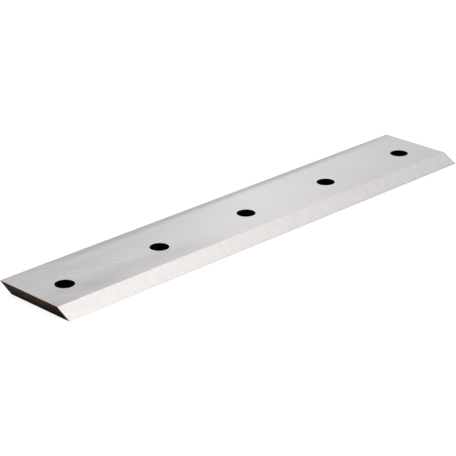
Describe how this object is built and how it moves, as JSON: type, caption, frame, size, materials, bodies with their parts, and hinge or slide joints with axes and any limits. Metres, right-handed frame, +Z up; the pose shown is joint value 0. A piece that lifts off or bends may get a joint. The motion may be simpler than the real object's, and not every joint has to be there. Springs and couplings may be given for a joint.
{
  "type": "chipper shredder blade",
  "caption": "Flat reversible chipper shredder blade: a ground steel bar with a bevelled cutting edge along each long side and a row of plain bolt holes.",
  "frame": {"origin": "centre of the underside, on the axis of the middle bolt hole", "axes": "+X along the blade, +Y across it from the front cutting edge, at the underside, to the back cutting edge, at the top face, +Z up through its thickness"},
  "size_m": [0.381, 0.0698, 0.0063],
  "materials": {
    "ground_steel": "satin"
  },
  "bodies": {
    "root": {"blade": "ground_steel"}
  },
  "joints": []
}
